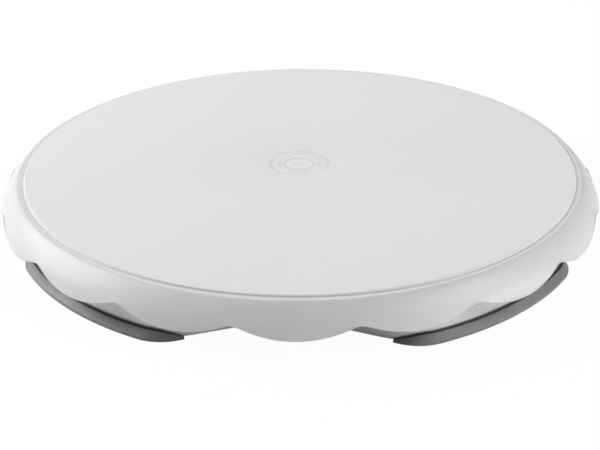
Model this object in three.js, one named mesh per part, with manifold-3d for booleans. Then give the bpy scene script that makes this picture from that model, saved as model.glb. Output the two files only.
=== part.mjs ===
// Cake turntable: a scalloped plate that turns on a four-lobed base.
// Millimetres, +Z up. The origin is on the turning axis, on the table surface.
// -Y is the front, between two lobes of the base. Plan angles are in degrees from +X.
import * as THREE from "three";
import { mergeVertices } from "three/addons/utils/BufferGeometryUtils.js";
import Module from "manifold-3d";

const wasm = await Module();
wasm.setup();

// ---------------------------------------------------------------- shared dimensions
const OVERLAP = 0.4; // how far ribs and bosses run into the part they stand on
const TOP_Z = 31.8; // flat disc of the plate, total height
const DECK_Z = 18; // top of the base's deck

// bearing
const RACE_R = 60; // pitch radius of the balls
const BALL_R = 2.5;
const BALL_COUNT = 12;
const BALL_Z = 22;
const RACE_IN = 50;
const RACE_OUT = 72;
const RACE_T = 2.6;
const LOWER_RACE_TOP = DECK_Z + RACE_T;
const UPPER_RACE_UNDER = 2 * BALL_Z - LOWER_RACE_TOP;
const UPPER_RACE_TOP = 2 * BALL_Z - DECK_Z;
const GROOVE_R = 2.9;
const GROOVE_GAP = 0.14; // between a ball and the bottom of its groove
const CAGE_W = 9.2;
const CAGE_T = 1.6;
const POCKET_GAP = 0.3; // round a ball in the cage

// race screws
const RACE_SCREW_R = 68; // radius of the circle they stand on
const LOWER_SCREWS = around(4, 22.5);
const UPPER_SCREWS = around(4);
const PILOT_R = 1.65; // screw holes in plate and base
const SCREW = { tipR: 0.5, shankR: 1.45, headR: 2.9, headH: 1.4 };

// centre
const PIN_R = 5;
const BUSH_BORE_R = PIN_R + 0.1;
const BUSH_R = 7;
const CAP_R = 16.7;
const CAP_POCKET_R = CAP_R + 0.15;
const CAP_POCKET_Z = 30.4;
const HUB_Z = 24; // lower end of the plate's hub
const BASE_HUB_Z = 8; // lower end of the base's hub
const SCREW_SEAT_Z = 28.2; // under the head of the spindle screw

// ---------------------------------------------------------------- angles and vectors
function rad(degrees) {
  return (degrees * Math.PI) / 180;
}

function around(count, start = 0) {
  return Array.from({ length: count }, (_, i) => start + (360 * i) / count);
}

function polar(radius, angle) {
  return [radius * Math.cos(rad(angle)), radius * Math.sin(rad(angle))];
}

const dot = (p, q) => p[0] * q[0] + p[1] * q[1];

// ---------------------------------------------------------------- mesh helpers
// An indexed mesh whose faces are turned outwards.
function fromTriangles(points, faces) {
  let volume = 0;
  for (const [a, b, c] of faces) {
    const [p, q, r] = [points[a], points[b], points[c]];
    volume +=
      p[0] * (q[1] * r[2] - q[2] * r[1]) -
      p[1] * (q[0] * r[2] - q[2] * r[0]) +
      p[2] * (q[0] * r[1] - q[1] * r[0]);
  }
  const mesh = new THREE.BufferGeometry();
  mesh.setAttribute("position", new THREE.BufferAttribute(new Float32Array(points.flat()), 3));
  mesh.setIndex(faces.flatMap(([a, b, c]) => (volume < 0 ? [a, c, b] : [a, b, c])));
  return mesh;
}

// Faces between successive rings of equal length.
function sideFaces(rings) {
  const n = rings[0].length;
  const faces = [];
  for (let k = 0; k + 1 < rings.length; k++) {
    for (let i = 0; i < n; i++) {
      const a = k * n + i;
      const b = k * n + ((i + 1) % n);
      faces.push([a, b, b + n], [a, b + n, a + n]);
    }
  }
  return faces;
}

// A solid through rings of equal length, closed by a fan at each end.
function stack(rings) {
  const n = rings[0].length;
  const points = rings.flat();
  const faces = sideFaces(rings);
  for (const k of [0, rings.length - 1]) {
    const middle = points.length;
    points.push([0, 1, 2].map((axis) => rings[k].reduce((sum, p) => sum + p[axis], 0) / n));
    for (let i = 0; i < n; i++) {
      const a = k * n + i;
      const b = k * n + ((i + 1) % n);
      faces.push(k ? [a, b, middle] : [b, a, middle]);
    }
  }
  return solid(fromTriangles(points, faces));
}

// A solid bar through closed sections. Both ends are triangulated like the flat cap.
function bar(sections, cap) {
  const faces = sideFaces(sections);
  const corners = cap.map(([x, y]) => new THREE.Vector2(x, y));
  const last = (sections.length - 1) * sections[0].length;
  for (const [a, b, c] of THREE.ShapeUtils.triangulateShape(corners, [])) {
    faces.push([c, b, a], [a + last, b + last, c + last]);
  }
  return solid(fromTriangles(sections.flat(), faces));
}

// Merges a three.js mesh's corners, drops collapsed faces and turns the rest outwards.
function watertight(source) {
  source.deleteAttribute("normal");
  source.deleteAttribute("uv");
  const { attributes, index } = mergeVertices(source, 1e-4);
  const { position } = attributes;
  const points = Array.from({ length: position.count }, (_, i) => [
    position.getX(i),
    position.getY(i),
    position.getZ(i),
  ]);
  const faces = [];
  for (let i = 0; i < index.count; i += 3) {
    const [a, b, c] = [index.getX(i), index.getX(i + 1), index.getX(i + 2)];
    if (a !== b && b !== c && a !== c) faces.push([a, b, c]);
  }
  return fromTriangles(points, faces);
}

// The mesh turned from a profile of [radius, z] pairs.
function turned(profile, segments) {
  const points = profile.map(([radius, z]) => new THREE.Vector2(radius, z));
  return watertight(new THREE.LatheGeometry(points, segments).rotateX(Math.PI / 2));
}

const closed = (profile) => [...profile, profile[0]];

// Profile of a ring of rectangular section.
function flatRing(inner, outer, bottom, top) {
  return closed([[inner, bottom], [outer, bottom], [outer, top], [inner, top]]);
}

function solid(mesh) {
  return new wasm.Manifold(
    new wasm.Mesh({
      numProp: 3,
      vertProperties: new Float32Array(mesh.attributes.position.array),
      triVerts: new Uint32Array(mesh.index.array),
    }),
  );
}

function geometry(body) {
  const { vertProperties, triVerts } = body.getMesh();
  const mesh = new THREE.BufferGeometry();
  mesh.setAttribute("position", new THREE.BufferAttribute(new Float32Array(vertProperties), 3));
  mesh.setIndex(Array.from(triVerts));
  mesh.computeVertexNormals();
  return mesh;
}

function cylinder(radius, bottom, top, segments, [x, y] = [0, 0]) {
  const mesh = new THREE.CylinderGeometry(radius, radius, top - bottom, segments);
  mesh.rotateX(Math.PI / 2);
  mesh.translate(x, y, (bottom + top) / 2);
  return solid(watertight(mesh));
}

// A box between two values on each axis, then turned about Z.
function block([x0, x1], [y0, y1], [z0, z1], turn = 0) {
  const mesh = new THREE.BoxGeometry(x1 - x0, y1 - y0, z1 - z0);
  mesh.translate((x0 + x1) / 2, (y0 + y1) / 2, (z0 + z1) / 2);
  mesh.rotateZ(rad(turn));
  return solid(watertight(mesh));
}

// Cuts a cross recess on the Z axis. reach: half its length. half: half its width.
function crossRecess(body, reach, half, heights) {
  return body
    .subtract(block([-reach, reach], [-half, half], heights))
    .subtract(block([-half, half], [-reach, reach], heights));
}

// ---------------------------------------------------------------- plate
const DISC_R = 152.4; // 12 inch flat
const LEDGE_Z = 30.8; // narrow ledge round the disc
const PLATE_T = 2.4;
const UNDER_Z = TOP_Z - PLATE_T;
const SHOULDER_Z = 31.3; // datum of the skirt heights
const SCALLOPS = 17;
const SCALLOP_PITCH = 360 / SCALLOPS;
const SCALLOP_FRONT = 270 + 1.7; // middle of the scallop nearest the base's front
const SKIRT_R = 160.9; // where the skirt leaves its top bend
const SKIRT_H = 6.5; // and how far below the datum
// The lip, in a notch between two scallops and in the middle of a scallop.
const NOTCH = { radius: 164.2, drop: 10.8 }; // drop: below the datum
const SCALLOP = { radius: 165.5, drop: 16.8 };
const SCALLOP_POWERS = [2.1, 1.05]; // shape of the lip: inner and outer exponent
const NOTCH_EASE = 0.11; // roundness of a notch
// Stations of a scallop, as shares of its pitch: closer together beside the notches.
const SCALLOP_STATIONS = [0, 0.07, 0.17, 0.32, 0.5, 0.68, 0.83, 0.93];

const PLATE_HUB_R = 13;
const PLATE_RIBS = { end: 151, half: 0.9 }; // outer end, half thickness
const PLATE_RIB_Z = 26.9; // lower edge of ribs and stiffening ring

// How full a scallop is at an angle: 1 in its middle, 0 in a notch.
function fullness(angle) {
  let away = (((angle - SCALLOP_FRONT) % SCALLOP_PITCH) + SCALLOP_PITCH) % SCALLOP_PITCH;
  if (away > SCALLOP_PITCH / 2) away -= SCALLOP_PITCH;
  const share = Math.min(1, Math.abs(away / (SCALLOP_PITCH / 2)));
  const [inner, outer] = SCALLOP_POWERS;
  const sharp = (1 - share ** inner) ** outer;
  return (Math.hypot(sharp, NOTCH_EASE) - NOTCH_EASE) / (Math.hypot(1, NOTCH_EASE) - NOTCH_EASE);
}

// [radius, z] of the skirt's outside at a share of the way from its top bend to its lip.
function skirt(angle, share) {
  const full = fullness(angle);
  const lipDrop = NOTCH.drop + (SCALLOP.drop - NOTCH.drop) * full;
  const lipR = NOTCH.radius + (SCALLOP.radius - NOTCH.radius) * full;
  const slope = (NOTCH.radius - SKIRT_R) / (NOTCH.drop - SKIRT_H);
  const drop = SKIRT_H + share * (lipDrop - SKIRT_H);
  const flare = lipR - (SKIRT_R + slope * (lipDrop - SKIRT_H));
  return [SKIRT_R + slope * (drop - SKIRT_H) + flare * share ** 2, SHOULDER_Z - drop];
}

function plateShell() {
  const angles = around(SCALLOPS, SCALLOP_FRONT - SCALLOP_PITCH / 2).flatMap((start) =>
    SCALLOP_STATIONS.map((share) => start + share * SCALLOP_PITCH),
  );
  const level = (radius, z) => angles.map((angle) => [...polar(radius, angle), z]);
  const alongSkirt = (share, outwards, up) =>
    angles.map((angle) => {
      const [radius, z] = skirt(angle, share);
      return [...polar(radius + outwards, angle), z + up];
    });
  return stack([
    // disc and ledge
    level(DISC_R - 1.2, TOP_Z),
    level(DISC_R, TOP_Z - 0.4),
    level(DISC_R + 0.1, LEDGE_Z),
    level(DISC_R + 1.8, LEDGE_Z - 0.05),
    // top bend
    level(156.0, SHOULDER_Z - 1.75),
    level(158.6, SHOULDER_Z - 3.95),
    level(SKIRT_R, SHOULDER_Z - SKIRT_H),
    // skirt and lip
    alongSkirt(0.55, 0, 0),
    alongSkirt(1, 0, 0.45),
    alongSkirt(1, -0.8, 0),
    alongSkirt(1, -2.1, 0.2),
    // inside
    level(157.4, 25.6),
    level(150.8, UNDER_Z),
  ]);
}

function topPlate() {
  const rootZ = UNDER_Z + OVERLAP;
  let body = plateShell();
  // two pads on the upper race and a stiffening ring further out
  for (const [inner, outer, bottom] of [
    [RACE_IN, RACE_IN + 2.4, UPPER_RACE_TOP],
    [64.5, RACE_OUT, UPPER_RACE_TOP],
    [112, 114, PLATE_RIB_Z],
  ]) {
    body = body.add(solid(turned(flatRing(inner, outer, bottom, rootZ), 32)));
  }
  const { end, half } = PLATE_RIBS;
  for (const angle of around(8, 22.5)) {
    body = body.add(
      block([PLATE_HUB_R - 1, end], [-half, half], [PLATE_RIB_Z, rootZ], angle),
    );
  }
  // hub, and the thicker floor under the cap's pocket
  body = body.add(cylinder(PLATE_HUB_R, HUB_Z, rootZ, 24));
  body = body.add(cylinder(CAP_POCKET_R + 2.2, UNDER_Z - 1.4, rootZ, 32));
  // cap pocket, and the spindle screw's head recess and hole
  body = body.subtract(cylinder(CAP_POCKET_R, CAP_POCKET_Z, TOP_Z + 1, 48));
  body = body.subtract(cylinder(4.4, SCREW_SEAT_Z, TOP_Z, 16));
  body = body.subtract(cylinder(2.3, HUB_Z - 1, TOP_Z, 16));
  for (const angle of UPPER_SCREWS) {
    const place = polar(RACE_SCREW_R, angle);
    body = body.subtract(cylinder(PILOT_R, UPPER_RACE_TOP - 1, 28.9, 8, place));
  }
  return geometry(body);
}

// Cap in the middle of the disc, with a chamfered edge and two V-shaped rings in its top.
function centreCap() {
  const z = TOP_Z - 0.1;
  const profile = [
    [0, CAP_POCKET_Z], [CAP_R, CAP_POCKET_Z], [CAP_R, z - 0.25], [CAP_R - 0.25, z],
    [15.0, z], [14.7, z - 0.3], [14.0, z],
    [8.3, z], [8.0, z - 0.3], [7.3, z],
    [0, z],
  ];
  return geometry(solid(turned(profile, 36)));
}

// ---------------------------------------------------------------- base outline
const WALL_R = 153.1; // outside of the lobes
const WALL_T = 2.4;
const WALL_FOOT_Z = 1.1; // lower edge of the wall
const DECK_T = 2.4;
const ARC_FROM = 45 - 17.6; // where a lobe's round part begins, degrees from the side's middle
// The slope by which a side falls in from its lobe, in a frame where the side
// faces +Y and the lobe lies towards +X.
const SLOPE = rad(21.2);
const SLOPE_POINT = [29.7, 131.2];
const SLOPE_ALONG = [Math.cos(SLOPE), Math.sin(SLOPE)];
const SLOPE_OUT = [-Math.sin(SLOPE), Math.cos(SLOPE)];
const HOLLOW_R = 80; // radius of the hollow between two slopes

// Distance from the origin to a circle: its far side (1) or its near side (-1).
function reach(direction, centre, radius, side) {
  const along = dot(direction, centre);
  return along + side * Math.sqrt(Math.max(0, along ** 2 - dot(centre, centre) + radius ** 2));
}

// Degrees from +Y towards +X.
const bearing = ([x, y]) => (Math.atan2(x, y) * 180) / Math.PI;

// Polar radius of the four-lobed outline. angle: 0 in the middle of a side,
// 45 in the middle of a lobe. lobeR: radius of the lobe's round part.
// offset: how far the side stands outside the base wall.
function outline(angle, lobeR, offset) {
  let folded = ((angle % 90) + 90) % 90;
  if (folded > 45) folded = 90 - folded;
  if (folded >= ARC_FROM) return lobeR;
  const direction = [Math.sin(rad(folded)), Math.cos(rad(folded))];
  const slopeAt = dot(SLOPE_OUT, SLOPE_POINT) + offset; // distance of the slope from the origin

  // fillet between slope and lobe
  const arcStart = [Math.sin(rad(ARC_FROM)), Math.cos(rad(ARC_FROM))];
  const lean = dot(SLOPE_OUT, arcStart);
  const filletR = (slopeAt - lean * lobeR) / (1 - lean);
  const centre = arcStart.map((c) => c * (lobeR - filletR));
  const filletEnd = centre.map((c, i) => c + filletR * SLOPE_OUT[i]);
  if (folded >= bearing(filletEnd)) return reach(direction, centre, filletR, 1);

  // hollow: a circle outside the side, tangent to both slopes
  const hollowR = HOLLOW_R - offset;
  const hollowY = (slopeAt + hollowR) / SLOPE_OUT[1];
  const hollowEnd = [hollowR * Math.sin(SLOPE), hollowY - hollowR * Math.cos(SLOPE)];
  if (folded <= bearing(hollowEnd)) return reach(direction, [0, hollowY], hollowR, -1);

  return slopeAt / dot(SLOPE_OUT, direction);
}

// Stations from the middle of a side almost to the middle of a lobe, degrees.
const HALF_STEPS = [0, 6, 12, 17, 19, 21, 23, 25, 27.5, 30, 35, 40];
const QUARTER_STEPS = [
  ...HALF_STEPS,
  45,
  ...HALF_STEPS.slice(1).reverse().map((angle) => 90 - angle),
];
const BASE_STEPS = around(4).flatMap((start) => QUARTER_STEPS.map((angle) => start + angle));

// ---------------------------------------------------------------- base
// A ring of the base, set in from the wall's outside.
function wallRing(inset, z) {
  return BASE_STEPS.map((angle) => [
    ...polar(outline(angle, WALL_R - inset, -inset), angle),
    z,
  ]);
}

function baseShell() {
  const underZ = DECK_Z - DECK_T;
  const rootZ = underZ + OVERLAP;
  let body = stack([
    wallRing(0, WALL_FOOT_Z),
    wallRing(0, DECK_Z - 1.8),
    wallRing(0.5, DECK_Z - 0.6),
    wallRing(1.8, DECK_Z),
  ]);
  body = body.subtract(
    stack([wallRing(WALL_T, -1), wallRing(WALL_T, underZ - 1), wallRing(WALL_T + 1, underZ)]),
  );
  // ribs, shorter to the sides than to the lobes
  for (const angle of around(8)) {
    const end = angle % 90 === 0 ? 124 : 151.5;
    body = body.add(block([11, end], [-1, 1], [8.4, rootZ], angle));
  }
  // stiffening ring, hub and screw bosses
  body = body.add(solid(turned(flatRing(96, 98, 10, rootZ), 32)));
  body = body.add(cylinder(12, BASE_HUB_Z, rootZ, 24));
  const places = LOWER_SCREWS.map((angle) => polar(RACE_SCREW_R, angle));
  for (const place of places) body = body.add(cylinder(4.2, 10.5, rootZ, 10, place));
  // holes for the bushing and the screws
  body = body.subtract(cylinder(BUSH_R + 0.1, 0, DECK_Z + 1, 24));
  for (const place of places) {
    body = body.subtract(cylinder(PILOT_R, 11.5, DECK_Z + 1, 8, place));
  }
  return geometry(body);
}

// ---------------------------------------------------------------- grips
const GRIP_R = 158.5; // at the foot
const GRIP_OUT = 0.8; // how far the foot stands outside the wall along a side
const GRIP_FALL = 6; // degrees over which its top falls towards an end
const GRIP_END_X = 50.4; // where a grip ends along a side
const CHANNEL_GAP = 0.2; // between the wall and its channel
const CHANNEL_IN = WALL_T + CHANNEL_GAP; // inner side of the channel, in from the wall's outside
const GRIP_IN = WALL_T + 2.3; // inner side of the grip, likewise
// Section of a grip: [lobe radius, side offset, z]. The wall's foot stands in its channel.
const GRIP_SECTION = [
  [GRIP_R - 0.9, 0.5, 0],
  [GRIP_R, GRIP_OUT, 0.5],
  [GRIP_R - 0.1, GRIP_OUT, 2.1],
  [154.9, GRIP_OUT, 4.6], // outer edge of the top
  [WALL_R + CHANNEL_GAP, CHANNEL_GAP, 5.4], // where the top meets the wall
  [WALL_R + CHANNEL_GAP, CHANNEL_GAP, 0.95],
  [WALL_R - CHANNEL_IN, -CHANNEL_IN, 0.95],
  [WALL_R - CHANNEL_IN, -CHANNEL_IN, 6],
  [WALL_R - GRIP_IN, -GRIP_IN, 6],
  [WALL_R - GRIP_IN, -GRIP_IN, 0],
];
const LAST_OUTER_CORNER = 4; // corners up to this one lie outside the wall

// Angle at which a section line meets the grip's end, which is square to the slope.
function endAngle(lobeR, offset) {
  const [startX, startY] = SLOPE_POINT;
  const endY = startY + (GRIP_END_X - startX) * Math.tan(SLOPE);
  const stop = dot(SLOPE_ALONG, [GRIP_END_X, endY]);
  let low = 8;
  let high = 40;
  for (let i = 0; i < 40; i++) {
    const middle = (low + high) / 2;
    const radius = outline(middle, lobeR, offset);
    const point = [radius * Math.sin(rad(middle)), radius * Math.cos(rad(middle))];
    if (dot(SLOPE_ALONG, point) < stop) low = middle;
    else high = middle;
  }
  return (low + high) / 2;
}

const GRIP_ENDS = GRIP_SECTION.map(([lobeR, offset]) => endAngle(lobeR, offset));
// The wall's own stations between the ends, with both ends beyond them.
const GRIP_STEPS = [0, ...QUARTER_STEPS.filter((angle) => angle >= 21 && angle <= 69), 90];

// Height of a section corner: the outer ones fall towards the ends.
function gripZ(corner, z, angle) {
  if (corner > LAST_OUTER_CORNER || z <= 1) return z;
  const fromEnd = Math.min(angle, 90 - angle) - GRIP_ENDS[corner];
  const fall = 1 - Math.min(1, fromEnd / GRIP_FALL);
  return 1 + (z - 1) * (1 - 0.86 * fall * fall);
}

// The grip under the lobe whose middle is at the given angle.
function grip(lobeAngle) {
  const sections = GRIP_STEPS.map((step) =>
    GRIP_SECTION.map(([lobeR, offset, z], i) => {
      const angle = Math.min(Math.max(step, GRIP_ENDS[i]), 90 - GRIP_ENDS[i]);
      const place = polar(outline(angle, lobeR, offset), lobeAngle - 45 + angle);
      return [...place, gripZ(i, z, angle)];
    }),
  );
  return geometry(bar(sections, GRIP_SECTION.map(([lobeR, , z]) => [lobeR, z])));
}

// ---------------------------------------------------------------- races
// Points of the lower race's groove, from its outer edge to its inner edge.
function groove() {
  const centreZ = BALL_Z - BALL_R - GROOVE_GAP + GROOVE_R;
  const half = Math.acos((centreZ - LOWER_RACE_TOP) / GROOVE_R);
  return [0, 1, 2, 3, 4].map((i) => {
    const turn = half - (2 * half * i) / 4;
    return [RACE_R + GROOVE_R * Math.sin(turn), centreZ - GROOVE_R * Math.cos(turn)];
  });
}

// A race in the lower position, groove upwards, with countersunk screw holes.
function race(screwAngles) {
  const top = LOWER_RACE_TOP;
  const profile = closed([
    [RACE_IN, DECK_Z], [RACE_OUT, DECK_Z], [RACE_OUT, top], ...groove(), [RACE_IN, top],
  ]);
  const hole = [
    [0, DECK_Z - 1], [1.7, DECK_Z - 1], [1.7, top - 1.5],
    [3.15, top], [3.15, top + 1], [0, top + 1],
  ];
  let body = solid(turned(profile, 56));
  for (const angle of screwAngles) {
    const cutter = turned(hole, 12).translate(...polar(RACE_SCREW_R, angle), 0);
    body = body.subtract(solid(cutter));
  }
  return geometry(body);
}

// Turned over about a line along X in the plane of the balls' centres.
function turnedOver(mesh) {
  return mesh.rotateX(Math.PI).translate(0, 0, 2 * BALL_Z);
}

function raceScrew(profile, recess, angle) {
  const body = crossRecess(solid(turned(profile, 12)), 1.7, 0.3, recess);
  return geometry(body).rotateZ(rad(angle)).translate(...polar(RACE_SCREW_R, angle), 0);
}

function lowerScrew(angle) {
  const { tipR, shankR, headR, headH } = SCREW;
  const z = LOWER_RACE_TOP;
  const profile = [
    [0, 12.2], [tipR, 12.2], [shankR, 13.6], [shankR, z - headH], [headR, z], [0, z],
  ];
  return raceScrew(profile, [z - 0.7, z + 1], angle);
}

// Shorter than the lower screws: the tip stays inside the plate.
function upperScrew(angle) {
  const { tipR, shankR, headR, headH } = SCREW;
  const z = UPPER_RACE_UNDER;
  const profile = [
    [0, z], [headR, z], [shankR, z + headH], [shankR, 28], [tipR, 28.6], [0, 28.6],
  ];
  return raceScrew(profile, [z - 1, z + 0.7], angle);
}

// ---------------------------------------------------------------- cage and balls
const BALL_ANGLES = around(BALL_COUNT, 15);

function ballCage() {
  const profile = flatRing(
    RACE_R - CAGE_W / 2,
    RACE_R + CAGE_W / 2,
    BALL_Z - CAGE_T / 2,
    BALL_Z + CAGE_T / 2,
  );
  let body = solid(turned(profile, 48));
  for (const angle of BALL_ANGLES) {
    const place = polar(RACE_R, angle);
    body = body.subtract(cylinder(BALL_R + POCKET_GAP, BALL_Z - 3, BALL_Z + 3, 10, place));
  }
  return geometry(body);
}

function ball() {
  const mesh = watertight(new THREE.SphereGeometry(BALL_R, 10, 7).rotateX(Math.PI / 2));
  mesh.computeVertexNormals();
  return mesh;
}

// ---------------------------------------------------------------- centre
const PIN_GROOVE = { radius: 4, bottom: 5.3, top: 6.5 };
const CLIP = { inner: 4.15, outer: 7.6, bottom: 5.4, thickness: 1, halfOpening: 38 };

// Flanged sleeve in the base's hub.
function bushing() {
  const flangeR = 9.6;
  const flangeZ = DECK_Z + 1.4;
  const profile = closed([
    [BUSH_BORE_R, BASE_HUB_Z], [BUSH_R, BASE_HUB_Z], [BUSH_R, DECK_Z],
    [flangeR, DECK_Z], [flangeR, flangeZ], [BUSH_BORE_R, flangeZ],
  ]);
  return turned(profile, 24);
}

function thrustWasher() {
  return turned(flatRing(5.3, 11, 6.6, 7.9), 24);
}

// Pin: its collar butts against the plate's hub, its shaft runs in the bushing,
// and a clip in the groove near its lower end keeps the plate on.
function spindle() {
  const collarR = 8;
  const collarZ = 19.8;
  const boreR = 2.15;
  const { radius, bottom, top } = PIN_GROOVE;
  const profile = [
    [0, 4], [PIN_R - 0.6, 4], [PIN_R, 4.6],
    [PIN_R, bottom], [radius, bottom], [radius, top], [PIN_R, top],
    [PIN_R, collarZ], [collarR, collarZ], [collarR, HUB_Z],
    [boreR, HUB_Z], [boreR, 12.4], [0, 11.6],
  ];
  return turned(profile, 24);
}

function spindleScrew() {
  const profile = [
    [0, 13], [1.4, 13], [2, 14], [2, SCREW_SEAT_Z],
    [4, SCREW_SEAT_Z], [4, 29.4], [3.1, 30.1], [0, 30.1],
  ];
  return geometry(crossRecess(solid(turned(profile, 12)), 2.2, 0.45, [28.9, 31]));
}

// A flat C, open towards the front.
function retainingClip() {
  const { inner, outer, bottom, thickness, halfOpening } = CLIP;
  const from = -Math.PI / 2 + rad(halfOpening);
  const to = (3 * Math.PI) / 2 - rad(halfOpening);
  const shape = new THREE.Shape();
  shape.absarc(0, 0, outer, from, to, false);
  shape.absarc(0, 0, inner, to, from, true);
  shape.closePath();
  const options = { depth: thickness, bevelEnabled: false, curveSegments: 10 };
  const mesh = watertight(new THREE.ExtrudeGeometry(shape, options).translate(0, 0, bottom));
  mesh.computeVertexNormals();
  return mesh;
}

// ---------------------------------------------------------------- materials
const standard = (settings) => new THREE.MeshStandardMaterial(settings);
const look = {
  plate: () => standard({ color: 0xf2f2f0, roughness: 0.3, metalness: 0 }),
  cap: () => standard({ color: 0xefefed, roughness: 0.4, metalness: 0 }),
  base: () => standard({ color: 0xededeb, roughness: 0.35, metalness: 0 }),
  grip: () => standard({ color: 0x4b4b4d, roughness: 0.6, metalness: 0 }),
  steel: () => standard({ color: 0xb9bbbd, roughness: 0.3, metalness: 1 }),
  race: () => standard({ color: 0xa9acae, roughness: 0.35, metalness: 1 }),
  nylon: () => standard({ color: 0xe6e2d6, roughness: 0.5, metalness: 0 }),
};

// ---------------------------------------------------------------- assembly
const group = new THREE.Group();
group.name = "cake_turntable";

function add(name, mesh, material) {
  const piece = new THREE.Mesh(mesh, material);
  piece.name = name;
  group.add(piece);
  return piece;
}

add("top_plate", topPlate(), look.plate());
add("centre_cap", centreCap(), look.cap());
add("base_shell", baseShell(), look.base());
add("grip_front_left", grip(225), look.grip());
add("grip_front_right", grip(315), look.grip());
add("grip_rear_right", grip(45), look.grip());
add("grip_rear_left", grip(135), look.grip());

add("lower_race", race(LOWER_SCREWS), look.race());
add("upper_race", turnedOver(race(UPPER_SCREWS)), look.race());
LOWER_SCREWS.forEach((angle, i) => {
  add(`lower_race_screw_${i + 1}`, lowerScrew(angle), look.steel());
});
UPPER_SCREWS.forEach((angle, i) => {
  add(`upper_race_screw_${i + 1}`, upperScrew(angle), look.steel());
});
add("ball_cage", ballCage(), look.nylon());
BALL_ANGLES.forEach((angle, i) => {
  const piece = add(`ball_${String(i + 1).padStart(2, "0")}`, ball(), look.steel());
  piece.position.set(...polar(RACE_R, angle), BALL_Z);
});

add("bushing", bushing(), look.nylon());
add("thrust_washer", thrustWasher(), look.nylon());
add("spindle", spindle(), look.steel());
add("spindle_screw", spindleScrew(), look.steel());
add("retaining_clip", retainingClip(), look.steel());

export default group;
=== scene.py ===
# Cake turntable: a scalloped plate on a ball bearing over a four-lobed base with rubber grips.
# Its axis is +Z, the floor is at z = 0 and the front is -Y. Lengths are millimetres until
# mesh() turns them into metres; lights and camera are in metres. Angles are degrees unless noted.
import math
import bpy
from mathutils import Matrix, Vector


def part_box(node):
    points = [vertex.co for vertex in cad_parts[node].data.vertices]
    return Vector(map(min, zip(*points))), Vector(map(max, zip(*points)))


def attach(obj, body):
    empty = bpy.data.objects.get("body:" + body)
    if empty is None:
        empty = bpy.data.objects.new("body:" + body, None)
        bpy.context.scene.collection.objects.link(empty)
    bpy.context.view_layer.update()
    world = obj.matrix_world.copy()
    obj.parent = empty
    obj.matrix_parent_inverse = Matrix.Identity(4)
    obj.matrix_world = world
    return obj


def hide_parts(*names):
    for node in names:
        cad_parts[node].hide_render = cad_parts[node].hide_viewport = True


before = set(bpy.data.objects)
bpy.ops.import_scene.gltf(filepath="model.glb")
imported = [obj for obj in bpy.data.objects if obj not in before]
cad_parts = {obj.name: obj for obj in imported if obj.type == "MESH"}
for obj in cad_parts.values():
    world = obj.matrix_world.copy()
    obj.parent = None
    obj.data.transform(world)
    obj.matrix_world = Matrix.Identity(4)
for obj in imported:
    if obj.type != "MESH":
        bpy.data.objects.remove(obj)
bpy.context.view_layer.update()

import bmesh
import bpy
import numpy as np
from mathutils import Matrix, Vector

scene = bpy.context.scene
rad = math.radians

# ------------------------------------------------------------------ shared sizes
TOP_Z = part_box("top_plate")[1].z * 1000
SHOULDER_Z = TOP_Z - 0.5
LEDGE_Z = TOP_Z - 1.02
UNDER_Z = TOP_Z - 2.4          # underside of the disc

CAP_R = 16.75
CAP_POCKET_Z = 30.4
SCREW_SEAT_Z = 28.2            # under the head of the spindle screw
HUB_Z = 24.0                   # the plate's hub rests on the spindle here

WALL_R, WALL_T = 153.1, 2.4    # wall of the base, at its lobes
WALL_FOOT_Z = 1.1
DECK_Z, DECK_T = 18.0, 2.4
DECK_UNDER_Z = DECK_Z - DECK_T

BALL_R, BALL_Z = 2.5, 22.0
BALL_ANGLES = [15 + 30 * i for i in range(12)]
RACE_R = 60.0                  # radius of the ring of balls
RACE_IN, RACE_OUT, RACE_T = 50.0, 72.0, 2.6
RACE_SEAT_Z = 2 * BALL_Z - DECK_Z
RACE_SCREW_R = 68.0
LOWER_SCREW_ANGLES = [22.5 + 90 * i for i in range(4)]
UPPER_SCREW_ANGLES = [90 * i for i in range(4)]

BUSH_R, BUSH_FOOT_Z = 7.0, 8.0

# turns a lower bearing part over into its place in the upper half, in metres
TO_UPPER = Matrix.Translation((0, 0, 2 * BALL_Z / 1000)) @ Matrix.Rotation(math.pi, 4, "X")


# ------------------------------------------------------------------ mesh helpers
def mesh(name, verts, faces, smooth=35.0):
    """A mesh object from millimetre vertices; edges sharper than smooth degrees stay sharp."""
    data = bpy.data.meshes.new(name)
    data.from_pydata((np.asarray(verts, float) * 0.001).tolist(), [], faces)
    data.validate()
    ob = bpy.data.objects.new(name, data)
    scene.collection.objects.link(ob)
    outward(ob)
    shade(ob, smooth)
    return ob


def outward(ob):
    """Turn all face normals outwards."""
    bm = bmesh.new()
    bm.from_mesh(ob.data)
    bmesh.ops.recalc_face_normals(bm, faces=bm.faces)
    if bm.calc_volume(signed=True) < 0:
        bmesh.ops.reverse_faces(bm, faces=bm.faces)
    bm.to_mesh(ob.data)
    bm.free()


def shade(ob, angle):
    ob.data.shade_smooth()
    ob.data.set_sharp_from_angle(angle=rad(angle))


def band(n, first, second):
    """Quads between two rings of n vertices, given the index where each ring starts."""
    pairs = [(i, (i + 1) % n) for i in range(n)]
    return [(first + i, first + j, second + j, second + i) for i, j in pairs]


def loop_solid(name, rings, smooth=35.0):
    """Closed ring of rings: rings[k] is an (n, 3) array, the last joins the first."""
    n, count = len(rings[0]), len(rings)
    faces = []
    for k in range(count):
        faces += band(n, k * n, (k + 1) % count * n)
    return mesh(name, np.vstack(rings), faces, smooth)


def stack_solid(name, rings, smooth=35.0):
    """Rings closed by a flat face at each end."""
    n, count = len(rings[0]), len(rings)
    faces = []
    for k in range(count - 1):
        faces += band(n, k * n, (k + 1) * n)
    faces.append(tuple(range(n)))
    faces.append(tuple((count - 1) * n + i for i in range(n)))
    return mesh(name, np.vstack(rings), faces, smooth)


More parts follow.
